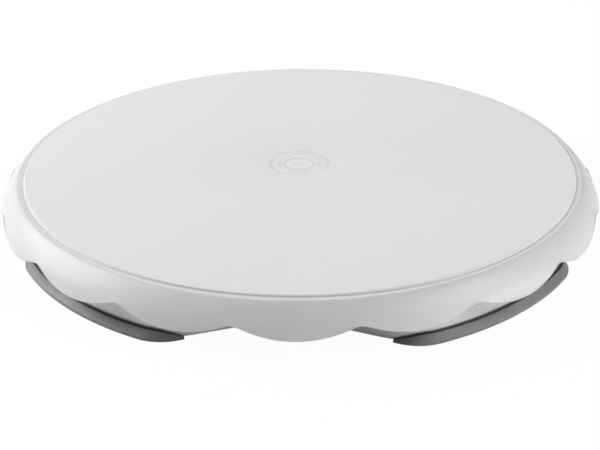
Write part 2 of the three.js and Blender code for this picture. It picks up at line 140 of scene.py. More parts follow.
def ring(angles, r, z):
    """Points at the given angles in radians; r and z are single values or one per angle."""
    height = np.broadcast_to(np.asarray(z, float), angles.shape)
    return np.stack([r * np.cos(angles), r * np.sin(angles), height], 1)


def lathe(name, profile, n=96, closed=False, smooth=35.0, at=(0.0, 0.0)):
    """Turn a profile of (r, z) about a vertical axis; an open one starts and ends on the axis."""
    angles = np.arange(n) * 2 * math.pi / n
    rings = [ring(angles, r, z) + [*at, 0.0] for r, z in profile]
    if closed:
        return loop_solid(name, rings, smooth)
    rings = rings[1:-1]
    bottom, top = ([[*at, z]] for _, z in (profile[0], profile[-1]))
    last = 1 + (len(rings) - 1) * n
    pairs = [(i, (i + 1) % n) for i in range(n)]
    faces = [(0, 1 + i, 1 + j) for i, j in pairs]
    for start in range(1, last, n):
        faces += band(n, start, start + n)
    faces += [(last + i, last + j, last + n) for i, j in pairs]
    return mesh(name, np.vstack([bottom, *rings, top]), faces, smooth)


def curve(points, n):
    """n + 1 points evenly along a smooth curve through the given ones."""
    p = np.array(points, float)
    along = np.concatenate([[0], np.cumsum(np.linalg.norm(np.diff(p, axis=0), axis=1))])
    slope = np.gradient(p, along, axis=0)
    out = []
    for s in np.linspace(0, along[-1], n + 1):
        i = min(len(along) - 2, max(0, int(np.searchsorted(along, s) - 1)))
        length = along[i + 1] - along[i]
        t = (s - along[i]) / length
        out.append((1 + 2 * t) * (1 - t) ** 2 * p[i]
                   + t * (1 - t) ** 2 * length * slope[i]
                   + t * t * (3 - 2 * t) * p[i + 1]
                   + t * t * (t - 1) * length * slope[i + 1])
    return [tuple(q) for q in out]


def rounded(corners, steps=4, closed=False):
    """A polyline with rounded corners. Each corner is (x, y, radius); radius 0 keeps it."""
    points = [np.array(corner[:2], float) for corner in corners]
    count = len(points)
    out = []
    for i, p in enumerate(points):
        radius = corners[i][2]
        if radius <= 0 or (not closed and i in (0, count - 1)):
            out.append(p)
            continue
        back, ahead = points[i - 1] - p, points[(i + 1) % count] - p
        back_len, ahead_len = np.linalg.norm(back), np.linalg.norm(ahead)
        back, ahead = back / back_len, ahead / ahead_len
        angle = math.acos(max(-1, min(1, float(back @ ahead))))
        if angle > math.pi - 0.05:
            out.append(p)
            continue
        # the arc takes at most just under half of each neighbouring side
        reach = min(radius / math.tan(angle / 2), back_len * 0.49, ahead_len * 0.49)
        fit = reach * math.tan(angle / 2)
        centre = p + (back + ahead) / np.linalg.norm(back + ahead) * (fit / math.sin(angle / 2))
        start, end = p + back * reach - centre, p + ahead * reach - centre
        sweep = math.acos(max(-1, min(1, float(start @ end) / (fit * fit))))
        sign = 1 if start[0] * end[1] - start[1] * end[0] > 0 else -1
        for k in range(steps + 1):
            turn = sign * sweep * k / steps
            c, s = math.cos(turn), math.sin(turn)
            out.append(centre + np.array([start[0] * c - start[1] * s,
                                          start[0] * s + start[1] * c]))
    return [tuple(q) for q in out]


def combine(ob, operation, tools, smooth):
    """Apply a boolean with a list of tool objects; the tools are removed."""
    group = bpy.data.collections.new("tools")
    scene.collection.children.link(group)
    for tool in tools:
        for owner in list(tool.users_collection):
            owner.objects.unlink(tool)
        group.objects.link(tool)
    mod = ob.modifiers.new("boolean", "BOOLEAN")
    mod.operation = operation
    mod.solver = "MANIFOLD"
    mod.operand_type = "COLLECTION"
    mod.collection = group
    bpy.context.view_layer.update()
    depsgraph = bpy.context.evaluated_depsgraph_get()
    made = bpy.data.meshes.new_from_object(ob.evaluated_get(depsgraph))
    ob.modifiers.clear()
    old = ob.data
    ob.data = made
    ob.data.materials.clear()
    bpy.data.meshes.remove(old)
    for tool in tools:
        bpy.data.objects.remove(tool)
    bpy.data.collections.remove(group)
    bm = bmesh.new()
    bm.from_mesh(ob.data)
    bmesh.ops.remove_doubles(bm, verts=bm.verts, dist=2e-6)
    bmesh.ops.dissolve_degenerate(bm, edges=bm.edges, dist=1e-6)
    bm.to_mesh(ob.data)
    bm.free()
    shade(ob, smooth)


def polar(r, angle):
    return r * math.cos(rad(angle)), r * math.sin(rad(angle))


def turned(points, angle):
    """Points of an (n, 3) array turned about the Z axis."""
    c, s = math.cos(rad(angle)), math.sin(rad(angle))
    return points @ np.array([[c, -s, 0], [s, c, 0], [0, 0, 1]]).T


def rib(r_from, r_to, half_low, half_high, z_low, z_high, angle):
    """A radial rib with its half thickness given at both heights and eased lower corners."""
    section = rounded([(-half_high, z_high, 0), (-half_low, z_low, 0.3),
                       (half_low, z_low, 0.3), (half_high, z_high, 0)], 3)
    ends = [np.array([[x, y, z] for y, z in section]) for x in (r_from, r_to)]
    return stack_solid("rib", [turned(end, angle) for end in ends])


def lathes_at(name, profile, n, r, angles):
    """The same turned tool at several angles on a circle of radius r."""
    return [lathe(name, profile, n, at=polar(r, a)) for a in angles]


def finish_piece(ob, body, node, material=None):
    """Give a piece its material, if it has none yet, and tell the frame what it is."""
    if material:
        ob.data.materials.append(material)
    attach(ob, body)
    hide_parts(node)


# ------------------------------------------------------------------ materials
def add_node(tree, kind, values=None):
    node = tree.nodes.new(kind)
    for socket, value in (values or {}).items():
        node.inputs[socket].default_value = value
    return node


def gray(value, tint=(1, 1, 1)):
    return tuple(value * t for t in tint)


class Shader:
    """A material with a Principled shader, and helpers that add nodes to it."""

    def __init__(self, name):
        self.material = bpy.data.materials.new(name)
        self.material.use_nodes = True
        self.tree = self.material.node_tree
        self.tree.nodes.clear()
        self.link = self.tree.links.new
        self.output = self.node("ShaderNodeOutputMaterial")
        self.bsdf = self.node("ShaderNodeBsdfPrincipled")
        self.link(self.bsdf.outputs[0], self.output.inputs[0])
        self.coord = self.node("ShaderNodeTexCoord").outputs["Object"]

    def node(self, kind, values=None):
        return add_node(self.tree, kind, values)

    def set(self, values):
        for socket, value in values.items():
            self.bsdf.inputs[socket].default_value = value

    def noise(self, scale, detail, rough=0.55):
        node = self.node("ShaderNodeTexNoise",
                         {"Scale": scale, "Detail": detail, "Roughness": rough})
        self.link(self.coord, node.inputs["Vector"])
        return node.outputs["Fac"]

    def colour(self, height, low, high):
        """Base colour from a height; low and high are (position, colour)."""
        node = self.node("ShaderNodeValToRGB")
        for element, (position, colour) in zip(node.color_ramp.elements, (low, high)):
            element.position = position
            element.color = (*colour, 1)
        self.link(height, node.inputs[0])
        self.link(node.outputs[0], self.bsdf.inputs["Base Color"])

    def roughness(self, height, low, high):
        node = self.node("ShaderNodeMapRange", {"From Min": 0.3, "From Max": 0.7,
                                                "To Min": low, "To Max": high})
        self.link(height, node.inputs["Value"])
        self.link(node.outputs[0], self.bsdf.inputs["Roughness"])

    def bump(self, layers):
        """layers: [(height socket, distance in metres, strength)]"""
        previous = None
        for height, distance, strength in layers:
            node = self.node("ShaderNodeBump", {"Distance": distance, "Strength": strength})
            self.link(height, node.inputs["Height"])
            if previous:
                self.link(previous.outputs[0], node.inputs["Normal"])
            previous = node
        self.link(previous.outputs[0], self.bsdf.inputs["Normal"])


def plastic(name, value, rough, tint=(1, 1, 1), grain=None, wave=0.00004, coat=0.0,
            scatter=0.05, specular=0.5):
    """Moulded plastic. wave is the depth of the slow unevenness in metres;
    grain is (noise scale, depth in metres, strength)."""
    shader = Shader(name)
    vary = 0.012
    shader.colour(shader.noise(scale=9.0, detail=4),
                  low=(0.35, gray(value * (1 - vary), tint)),
                  high=(0.65, gray(value * (1 + vary), tint)))
    shader.roughness(shader.noise(scale=55.0, detail=5), *rough)
    shader.set({
        "IOR": 1.5,
        "Specular IOR Level": specular,
        "Subsurface Weight": scatter,
        "Subsurface Radius": (1.0, 0.95, 0.9),
        "Subsurface Scale": 0.0015,
        "Coat Weight": coat,
        "Coat Roughness": 0.08,
    })
    layers = [(shader.noise(scale=24.0, detail=2), wave, 1.0)]
    if grain:
        scale, depth, strength = grain
        layers.append((shader.noise(scale=scale, detail=2, rough=0.7), depth, strength))
    shader.bump(layers)
    return shader.material


def rubber(name, value):
    shader = Shader(name)
    tint = (1, 1, 1.01)
    shader.colour(shader.noise(scale=30.0, detail=5),
                  low=(0.3, gray(value * 0.92, tint)), high=(0.7, gray(value * 1.08, tint)))
    fine = shader.noise(scale=1700.0, detail=3, rough=0.7)
    mid = shader.noise(scale=140.0, detail=4)
    shader.roughness(mid, low=0.44, high=0.56)
    shader.set({"Specular IOR Level": 0.5, "Sheen Weight": 0.12, "Sheen Roughness": 0.5})
    shader.bump([(mid, 0.00006, 0.6), (fine, 0.00005, 0.7)])
    return shader.material


def steel(name, value, tint, rough, turning=None):
    """Bare steel; turning is the scale of its lathe rings, if it has any."""
    shader = Shader(name)
    shader.colour(shader.noise(scale=60.0, detail=4),
                  low=(0.3, gray(value * 0.93, tint)), high=(0.7, gray(value, tint)))
    shader.set({"Metallic": 1.0})
    mid = shader.noise(scale=400.0, detail=4)
    shader.roughness(mid, *rough)
    layers = [(mid, 0.00001, 0.4)]
    if turning:
        wave = shader.node("ShaderNodeTexWave",
                           {"Scale": turning, "Distortion": 0.4, "Detail": 3})
        wave.wave_type = "RINGS"
        wave.rings_direction = "Z"
        shader.link(shader.coord, wave.inputs["Vector"])
        layers.append((wave.outputs["Fac"], 0.00001, 0.5))
    shader.bump(layers)
    return shader.material


COOL = (1.0, 1.0, 1.012)
MAT_SKIRT = plastic("plate_gloss_white", value=0.68, tint=(1.0, 1.0, 1.016),
                    rough=(0.40, 0.48), wave=0.00012, coat=0.03)
MAT_TOP = plastic("plate_matt_white", value=0.80, tint=COOL, rough=(0.62, 0.72),
                  grain=(2600.0, 0.00003, 0.55), wave=0.00002, specular=0.0)
MAT_UNDER = plastic("plate_inside_white", value=0.74, rough=(0.3, 0.42),
                    grain=(1400.0, 0.00002, 0.4))
MAT_CAP = plastic("cap_satin_white", value=0.79, tint=COOL, rough=(0.34, 0.44),
                  grain=(2600.0, 0.00002, 0.4))
MAT_BASE = plastic("base_white", value=0.82, rough=(0.26, 0.36),
                   grain=(1800.0, 0.00001, 0.3), wave=0.00010)
MAT_NYLON = plastic("nylon_natural", value=0.72, tint=(1.0, 0.975, 0.90), rough=(0.38, 0.5),
                    grain=(1500.0, 0.00002, 0.4), scatter=0.15)
MAT_GRIP = rubber("grip_rubber", value=0.215)
# near-black rubber for the seam lip: painted shade for the shadow in the gap between grip and
# wall
MAT_SEAM_SHADE = rubber("grip_seam_painted_shade", value=0.042)
MAT_RACE = steel("race_steel", value=0.56, tint=(1, 1, 1.01), rough=(0.24, 0.36), turning=600.0)
MAT_BALL = steel("ball_steel", value=0.70, tint=(1, 1, 1.01), rough=(0.06, 0.1))
MAT_ZINC = steel("zinc_steel", value=0.62, tint=(1, 1, 1.02), rough=(0.24, 0.38))

# ------------------------------------------------------------------ plate
SCALLOPS = 17
PLATE_TURN = 1.7               # the first lobe's angle past the front
# drops are measured down from the shoulder
SKIRT_R, SKIRT_DROP = 160.9, 6.5
NOTCH_R, NOTCH_DROP = 164.2, 10.8
LOBE_R, LOBE_DROP = 165.5, 16.8
NOTCH_EASE = 0.11

# (r, z, corner radius) from the screw bore up through the cap's pocket onto the disc
PLATE_POCKET = [
    (4.4, SCREW_SEAT_Z, 0), (4.4, CAP_POCKET_Z, 0.15), (CAP_R + 0.03, CAP_POCKET_Z, 0.25),
    (CAP_R + 0.03, TOP_Z, 0.12), (60, TOP_Z, 0),
]
# (r, z) from the rounded shoulder out onto the ledge
PLATE_LEDGE = [
    (151.9, LEDGE_Z + 0.16), (152.02, LEDGE_Z + 0.03), (152.25, LEDGE_Z - 0.07),
    (152.6, LEDGE_Z - 0.12), (153.0, LEDGE_Z - 0.12), (153.4, LEDGE_Z - 0.08),
]
# (r, z) the smooth bend from ledge to skirt passes through
PLATE_BEND = [
    (153.9, LEDGE_Z - 0.04), (154.5, LEDGE_Z - 0.03), (155.15, LEDGE_Z - 0.18),
    (156.0, SHOULDER_Z - 1.22), (156.9, SHOULDER_Z - 1.97), (158.1, SHOULDER_Z - 3.14),
    (159.5, SHOULDER_Z - 4.7), (SKIRT_R, SHOULDER_Z - SKIRT_DROP), (162.75, SHOULDER_Z - 9.2),
]
# (r, z) of the rolled lip, from the skirt's lower edge
LIP_ROLL = [
    (0.0, 0.62), (-0.03, 0.36), (-0.16, 0.14), (-0.42, 0.0), (-0.8, -0.04),
    (-1.25, 0.02), (-1.65, 0.16), (-1.95, 0.42), (-2.12, 0.8),
]
# (share of the way down the skirt, distance in from its outer face)
SKIRT_INSIDE = [(0.82, 2.35), (0.66, 2.42), (0.5, 2.5), (0.32, 2.6), (0.15, 2.7)]
# (r, z) inside the bend, up to the underside of the disc
BEND_INSIDE = [
    (157.35, 25.4), (156.9, 26.2), (155.9, 27.2), (154.6, 28.1), (153.3, 28.8),
    (152.0, 29.25), (150.3, UNDER_Z),
]
# (r, z, corner radius) of the underside: stiffening ring, race pad in two lands, hub
PLATE_UNDER = [
    (140, UNDER_Z, 0), (114.25, UNDER_Z, 0.6), (114, 26.9, 0.3), (112, 26.9, 0.3),
    (111.75, UNDER_Z, 0.6), (90, UNDER_Z, 0),
    (72.2, UNDER_Z, 0.6), (RACE_OUT, RACE_SEAT_Z, 0.15), (64.5, RACE_SEAT_Z, 0.15),
    (64.3, UNDER_Z, 0.5), (52.6, UNDER_Z, 0.5), (52.4, RACE_SEAT_Z, 0.15),
    (RACE_IN, RACE_SEAT_Z, 0.15), (49.8, UNDER_Z, 0.6),
    (19.35, UNDER_Z, 0.6), (19.05, 28.0, 0.4), (13.1, 28.0, 0.5), (13, HUB_Z, 0.4),
    (2.3, HUB_Z, 0),
]


def fullness(angle):
    """1 in the middle of a scallop's lobe, falling to 0 in the notches."""
    pitch = 360 / SCALLOPS
    off = (np.asarray(angle) - (270 + PLATE_TURN) + pitch / 2) % pitch - pitch / 2
    s = np.clip(1 - np.abs(off / (pitch / 2)) ** 2.1, 0, 1) ** 1.05
    return (np.hypot(s, NOTCH_EASE) - NOTCH_EASE) / (math.hypot(1, NOTCH_EASE) - NOTCH_EASE)


def skirt(angle, v):
    """(r, z) of the skirt's outer face; v runs from 0 at its top to 1 at the lip."""
    s = fullness(angle)
    lip_drop = NOTCH_DROP + (LOBE_DROP - NOTCH_DROP) * s
    lip_r = NOTCH_R + (LOBE_R - NOTCH_R) * s
    slope = (NOTCH_R - SKIRT_R) / (NOTCH_DROP - SKIRT_DROP)
    drop = SKIRT_DROP + v * (lip_drop - SKIRT_DROP)
    flare = lip_r - (SKIRT_R + slope * (lip_drop - SKIRT_DROP))
    return SKIRT_R + slope * (drop - SKIRT_DROP) + flare * v * v, SHOULDER_Z - drop


def plate_rings():
    n = SCALLOPS * 30
    degrees = 270 + PLATE_TURN + np.arange(n) * 360 / n
    angles = np.radians(degrees)

    top = [(2.3, SCREW_SEAT_Z)] + rounded(PLATE_POCKET)
    top += [(r, TOP_Z) for r in (90, 120, 140, 149)]
    for t in np.linspace(0, 84, 10):
        top.append((150.95 + 0.85 * math.sin(rad(t)), TOP_Z - 0.6 + 0.6 * math.cos(rad(t))))
    skirt_top = SHOULDER_Z - SKIRT_DROP + 0.15
    profile = top + PLATE_LEDGE + [q for q in curve(PLATE_BEND, 30) if q[1] > skirt_top]
    profile += [skirt(degrees, v) for v in np.linspace(0, 1, 15)[:-1]]
    lip_r, lip_z = skirt(degrees, 1.0)
    profile += [(lip_r + dr, lip_z + dz) for dr, dz in LIP_ROLL]
    for v, inset in SKIRT_INSIDE:
        r, z = skirt(degrees, v)
        profile.append((r - inset, z))
    profile += BEND_INSIDE + rounded(PLATE_UNDER, 3)
    return [ring(angles, r, z) for r, z in profile]


def paint_plate(ob):
    """Matt on the disc and in the pocket, plain on the inside, gloss on the skirt."""
    for material in (MAT_TOP, MAT_SKIRT, MAT_UNDER):
        ob.data.materials.append(material)
    for face in ob.data.polygons:
        centre, normal = face.center * 1000, face.normal
        r = math.hypot(centre.x, centre.y)
        on_disc = r < 151.83 and centre.z > TOP_Z - 0.56
        in_pocket = r < 16.9 and centre.z > 28.1 and normal.z > -0.5
        faces_axis = centre.x * normal.x + centre.y * normal.y < 0
        if on_disc or in_pocket:
            face.material_index = 0
        elif normal.z < -0.35 or (faces_axis and r > 100) or r < 120:
            face.material_index = 2
        else:
            face.material_index = 1


def build_plate():
    ob = loop_solid("plate", plate_rings(), 32)
    ribs = [rib(12.0, 151.5, 0.75, 0.95, 26.9, UNDER_Z + 0.8, 22.5 + 45 * i) for i in range(8)]
    combine(ob, "UNION", ribs, 32)
    hole = [(0, 24), (1.65, 24), (1.65, 28.6), (0, 29.2)]
    holes = lathes_at("hole", hole, 24, RACE_SCREW_R, UPPER_SCREW_ANGLES)
    combine(ob, "DIFFERENCE", holes, 32)
    paint_plate(ob)
    finish_piece(ob, "turntable", "top_plate")


build_plate()

# ------------------------------------------------------------------ centre cap
CAP_Z = TOP_Z - 0.08
# (r, height from CAP_Z): centre dimple, ring groove, shallow trough and rim
CAP_FACE = [
    (0.0, -0.28), (0.9, -0.26), (1.25, -0.2), (1.5, -0.05), (1.7, 0), (7.2, 0),
    (7.4, -0.04), (7.6, -0.22), (7.75, -0.27), (8.0, -0.27), (8.15, -0.22), (8.35, -0.04),
    (8.55, 0), (13.0, 0), (13.3, -0.01), (13.7, -0.05), (14.1, -0.1), (14.5, -0.125),
    (14.9, -0.125), (15.3, -0.1), (15.7, -0.05), (16.1, -0.01), (16.45, 0), (16.62, -0.02),
    (16.72, -0.08), (CAP_R, -0.3),
]
# (r, z) down the side and back to the axis
CAP_BACK = [(CAP_R, 30.7), (16.5, 30.45), (16.3, 30.42), (0.0, 30.42)]


def cap_notch(r_from, r_to, angle):
    """A radial groove tool, wider upwards."""
    half = 0.3
    corners = [(r_from, -half), (r_to, -half), (r_to, half), (r_from, half)]
    low = np.array([[x, y * 0.7, CAP_Z - 0.2] for x, y in corners])
    high = np.array([[x, y * 1.5, CAP_Z + 0.3] for x, y in corners])
    return stack_solid("notch", [turned(low, angle), turned(high, angle)])


def build_cap():
    ob = lathe("cap", [(r, CAP_Z + dz) for r, dz in CAP_FACE] + CAP_BACK, 240, smooth=40)
    # short centring ticks, longer every quarter turn, and fine milling round the rim
    notches = [cap_notch(9.6 if k % 6 == 0 else 11.2, 12.6, 15 * k) for k in range(24)]
    notches += [cap_notch(14.9, 16.2, 6 * k) for k in range(60)]
    combine(ob, "DIFFERENCE", notches, 40)
    finish_piece(ob, "turntable", "centre_cap", MAT_CAP)


build_cap()

# ------------------------------------------------------------------ base
LOBE_HALF = 17.6               # half the angle each lobe's arc spans
LOBE_FROM = 45 - LOBE_HALF
SIDE_SLOPE = 21.2
SIDE_POINT = (29.7, 131.2)     # a point on the straight part: (along the side, outwards)
SIDE_HOLLOW_R = 80.0

# (distance from the wall's outer face, z, corner radius)
WALL_OUTSIDE = [
    (-0.9, WALL_FOOT_Z, 0), (0.0, WALL_FOOT_Z, 0.35), (-0.02, 9.0, 0), (-0.25, DECK_Z, 1.7),
    (-6.0, DECK_Z, 0),
]
WALL_INSIDE = [
    (-7.0, DECK_UNDER_Z, 0), (-WALL_T - 0.3, DECK_UNDER_Z, 1.2), (-WALL_T, 9.0, 0),
    (-WALL_T, WALL_FOOT_Z, 0.35), (-1.5, WALL_FOOT_Z, 0),
]
# (r, z, corner radius): deck with a recess for the race, bush bore, then the underside with
# its boss and ring
DECK = [
    (112, DECK_Z, 0), (RACE_OUT + 0.6, DECK_Z, 0.1), (RACE_OUT + 0.4, DECK_Z - 0.25, 0.1),
    (RACE_IN - 0.4, DECK_Z - 0.25, 0.1), (RACE_IN - 0.6, DECK_Z, 0.1), (12, DECK_Z, 0),
    (BUSH_R + 0.1, DECK_Z, 0.3), (BUSH_R + 0.1, BUSH_FOOT_Z, 0.3), (12.0, BUSH_FOOT_Z, 0.5),
    (12.1, DECK_UNDER_Z, 0.8), (48, DECK_UNDER_Z, 0), (95.7, DECK_UNDER_Z, 0.8),
    (96, 10, 0.3), (98, 10, 0.3), (98.3, DECK_UNDER_Z, 0.8), (110, DECK_UNDER_Z, 0),
]


def outline(angle, lobe_r, offset):
    """Polar radius of the four-lobed outline, 0 degrees in the middle of a side.

    lobe_r is the radius at the lobes, offset moves the sides outwards.
    """
    a = angle % 90
    if a > 45:
        a = 90 - a
    if a >= LOBE_FROM:
        return lobe_r
    # half a side in (along, outwards): hollow arc, straight line, blend arc, lobe
    slope = rad(SIDE_SLOPE)
    normal = (-math.sin(slope), math.cos(slope))
    line = normal[0] * SIDE_POINT[0] + normal[1] * SIDE_POINT[1] + offset
    lobe_dir = (math.sin(rad(LOBE_FROM)), math.cos(rad(LOBE_FROM)))
    facing = normal[0] * lobe_dir[0] + normal[1] * lobe_dir[1]
    blend_r = (line - facing * lobe_r) / (1 - facing)
    cx, cy = (lobe_dir[0] * (lobe_r - blend_r), lobe_dir[1] * (lobe_r - blend_r))
    blend_end = (cx + blend_r * normal[0], cy + blend_r * normal[1])
    ray = (math.sin(rad(a)), math.cos(rad(a)))
    if a >= math.degrees(math.atan2(blend_end[0], blend_end[1])):
        b = ray[0] * cx + ray[1] * cy
        return b + math.sqrt(max(0, b * b - cx ** 2 - cy ** 2 + blend_r * blend_r))
    hollow_r = SIDE_HOLLOW_R - offset
    hollow_y = (line + hollow_r) / normal[1]
    hollow_end = (hollow_r * math.sin(slope), hollow_y - hollow_r * math.cos(slope))
    if a <= math.degrees(math.atan2(hollow_end[0], hollow_end[1])):
        b = ray[1] * hollow_y
        return b - math.sqrt(max(0, b * b - hollow_y * hollow_y + hollow_r * hollow_r))
    return line / (normal[0] * ray[0] + normal[1] * ray[1])


def build_base():
    degrees = np.arange(720) * 0.5
    angles = np.radians(degrees)

    def lobed(section):
        return [ring(angles, np.array([outline(a, WALL_R + d, d) for a in degrees]), z)
                for d, z in section]

    rings = lobed(rounded(WALL_OUTSIDE, 6))
    rings += [ring(angles, r, z) for r, z in rounded(DECK, 3)]
    rings += lobed(rounded(WALL_INSIDE, 5))
    ob = loop_solid("base", rings, 32)
    # ribs run shorter to the sides than to the lobes
    ribs = [rib(11.0, 124.0 if a % 90 == 0 else 151.5, 0.8, 1.05, 8.4, 16.4, a)
            for a in range(0, 360, 45)]
    combine(ob, "UNION", ribs, 32)
    boss = rounded([(0, 10.5, 0), (4.1, 10.5, 0.4), (4.3, 16.4, 0), (0, 16.4, 0)], 3)
    bosses = lathes_at("boss", boss, 40, RACE_SCREW_R, LOWER_SCREW_ANGLES)
    combine(ob, "UNION", bosses, 32)
    hole = [(0, 11.2), (1.65, 11.8), (1.65, DECK_Z + 2), (0, DECK_Z + 2)]
    holes = lathes_at("hole", hole, 24, RACE_SCREW_R, LOWER_SCREW_ANGLES)
    combine(ob, "DIFFERENCE", holes, 32)
    finish_piece(ob, "base", "base_shell", MAT_BASE)


build_base()

# ------------------------------------------------------------------ grips
GRIP_END_X = 50.4              # where the grips end along a side
GRIP_TOP_Z = 5.4
GRIP_FALL = 6.0                # degrees over which the height falls off at each end
SEAM_SHADE_R = 154.75                # the outer skin inside this radius is the seam lip, whose darker rubber is painted shade

# (radius at the lobe, z, corner radius)
GRIP_OUTSIDE = [
    (157.2, 0.0, 0), (158.45, 0.0, 0.55), (158.4, 2.1, 0.3), (155.0, 4.62, 0.12),
    (154.72, 4.62, 0.1), (154.62, 4.05, 0.08), (154.05, 4.05, 0.08),
    (153.95, GRIP_TOP_Z, 0.1), (153.6, GRIP_TOP_Z, 0.05), (153.5, 4.0, 0),
]
GRIP_INSIDE = [
    (153.3, 4.0, 0), (153.3, 0.95, 0), (150.5, 0.95, 0), (150.5, 6.0, 0.4),
    (148.4, 6.0, 0.6), (148.4, 0.0, 0.5), (149.4, 0.0, 0),
]
# sections along the grip as shares of its length, closer together towards the ends
GRIP_SHARES = np.concatenate([
    [0, 0.002, 0.006], np.linspace(0.012, 0.2, 27), np.linspace(0.2, 0.8, 55)[1:-1],
    np.linspace(0.8, 0.988, 27), [0.994, 0.998, 1],
])
# (section, scale) that eases the ends
GRIP_EASE = ((0, 0.9), (1, 0.965), (2, 0.99), (-1, 0.9), (-2, 0.965), (-3, 0.99))


def end_angle(lobe_r, offset):
    """Outline angle at which the grip's square end crosses this outline."""
    slope = rad(SIDE_SLOPE)
    along = (math.cos(slope), math.sin(slope))
    end_y = SIDE_POINT[1] + (GRIP_END_X - SIDE_POINT[0]) * math.tan(slope)
    stop = along[0] * GRIP_END_X + along[1] * end_y
    low, high = 8.0, 40.0
    for _ in range(40):
        middle = (low + high) / 2
        r = outline(middle, lobe_r, offset)
        if along[0] * r * math.sin(rad(middle)) + along[1] * r * math.cos(rad(middle)) < stop:
            low = middle
        else:
            high = middle
    return (low + high) / 2


def grip_section():
    """Section as (lobe radius, side offset, z, whether on the outer skin)."""
    section = []
    for r, z in rounded(GRIP_OUTSIDE, 5):
        t = (r - 153.3) / (158.5 - 153.3)
        section.append((r, 0.15 + 0.65 * min(1, max(0, t) * 3), z, True))
    for r, z in rounded(GRIP_INSIDE, 4):
        section.append((r, r - WALL_R, z, False))
    return section


def build_grip(name, middle, node):
    """A grip round the lobe at the angle middle."""
    section = grip_section()
    n = len(section)
    ends = [end_angle(r, offset) for r, offset, _, _ in section]
    rings = []
    for share in GRIP_SHARES:
        points = []
        for (lobe_r, offset, z, _), end in zip(section, ends):
            a = end + (90 - 2 * end) * share
            x, y = polar(outline(a, lobe_r, offset), middle - 45 + a)
            if lobe_r > 153.2 and z > 1:
                fall = 1 - min(1, (min(a, 90 - a) - end) / GRIP_FALL)
                z = 1 + (z - 1) * (1 - 0.86 * fall * fall)
            points.append((x, y, z))
        rings.append(np.array(points))
    # the last sections are drawn in a little towards their middle
    skin = [i for i, row in enumerate(section) if row[3]]
    for k, scale in GRIP_EASE:
        centre = rings[k][skin].mean(0)
        rings[k][skin] = centre + (rings[k][skin] - centre) * scale
        rings[k][:, 2] = np.maximum(rings[k][:, 2], 0.0)
    ob = stack_solid(name, rings, 38)
    # the seam lip at the wall gets a near-black rubber as painted shade, standing in for the
    # shadow in the gap at the wall
    seam = [i for i in skin if section[i][0] < SEAM_SHADE_R]
    ob.data.materials.append(MAT_GRIP)
    ob.data.materials.append(MAT_SEAM_SHADE)
    for face in ob.data.polygons:
        if len(face.vertices) == 4 and all((v % n) in seam for v in face.vertices):
            face.material_index = 1
    finish_piece(ob, "base", node)


for corner, corner_angle in (("front_left", 225), ("front_right", 315),
                             ("rear_right", 45), ("rear_left", 135)):
    build_grip("grip-" + corner, corner_angle, "grip_" + corner)

# ------------------------------------------------------------------ bearing
GROOVE_R = 2.9                 # section radius of the ball groove
GROOVE_GAP = 0.06              # clearance under the balls
RACE_TOP_Z = DECK_Z + RACE_T   # of the lower race


def build_race(name, upper, node, body):
    """A race with a ball groove and countersunk holes, drawn as the lower one."""
    groove_z = BALL_Z - BALL_R - GROOVE_GAP + GROOVE_R
    half = math.acos((groove_z - RACE_TOP_Z) / GROOVE_R)
    groove = []
    for i in range(17):
        t = half - 2 * half * i / 16
        groove.append((RACE_R + GROOVE_R * math.sin(t), groove_z - GROOVE_R * math.cos(t)))
    outer = rounded([(RACE_IN, DECK_Z, 0.3), (RACE_OUT, DECK_Z, 0.3),
                     (RACE_OUT, RACE_TOP_Z, 0.3), (*groove[0], 0)], 3, closed=True)
    inner = rounded([(*groove[-1], 0), (RACE_IN, RACE_TOP_Z, 0.3), (RACE_IN, DECK_Z, 0)], 3)
    ob = lathe(name, outer[:-1] + groove + inner[1:-1], 288, closed=True, smooth=32)
    hole = [(0, DECK_Z - 1), (1.7, DECK_Z - 1), (1.7, RACE_TOP_Z - 1.45), (3.15, RACE_TOP_Z),
            (3.4, RACE_TOP_Z + 0.3), (3.4, RACE_TOP_Z + 1), (0, RACE_TOP_Z + 1)]
    angles = UPPER_SCREW_ANGLES if upper else LOWER_SCREW_ANGLES
    combine(ob, "DIFFERENCE", lathes_at("hole", hole, 48, RACE_SCREW_R, angles), 32)
    if upper:
        ob.data.transform(TO_UPPER)
    finish_piece(ob, body, node, MAT_RACE)


build_race("race-lower", False, "lower_race", "base")
build_race("race-upper", True, "upper_race", "turntable")


def cross_tools(z, depth):
    """A crossed recess, narrowing downwards."""
    def blade_end(half_long, half_wide, height):
        return np.array([(-half_long, -half_wide, height), (half_long, -half_wide, height),
                         (half_long, half_wide, height), (-half_long, half_wide, height)])

    low, top = blade_end(0.6, 0.2, z - depth), blade_end(1.7, 0.34, z + 0.3)
    return [stack_solid("cross", [turned(low, a), turned(top, a)]) for a in (0, 90)]


def thread(root_r, crest_r, z_from, z_to, pitch):
    """Profile points of a thread, drawn as separate turned ridges."""
    out = []
    count = int((z_to - z_from) / pitch)
    for i in range(count):
        z = z_from + pitch * i
        out += [(root_r, z), (crest_r, z + pitch * 0.5)]
    out.append((root_r, z_from + pitch * count))
    return out


def race_screw(name, angle, upper, node, body):
    """A countersunk race screw, drawn as a lower one with its head up."""
    tip_z = 15.6 if upper else 12.3
    profile = [(0, tip_z), (0.35, tip_z + 0.05)]
    profile += thread(1.15, 1.45, tip_z + 0.7, RACE_TOP_Z - 1.9, pitch=0.75)
    profile += [(1.45, RACE_TOP_Z - 1.55), (2.88, RACE_TOP_Z - 0.12), (2.9, RACE_TOP_Z),
                (0, RACE_TOP_Z)]
    ob = lathe(name, profile, 36, smooth=38)
    combine(ob, "DIFFERENCE", cross_tools(RACE_TOP_Z, depth=1.0), 38)
    turn = -angle if upper else angle
    x, y = polar(RACE_SCREW_R, turn)
    place = Matrix.Translation((x / 1000, y / 1000, 0)) @ Matrix.Rotation(rad(turn), 4, "Z")
    if upper:
        place = TO_UPPER @ place
    ob.data.transform(place)
    finish_piece(ob, body, node, MAT_ZINC)


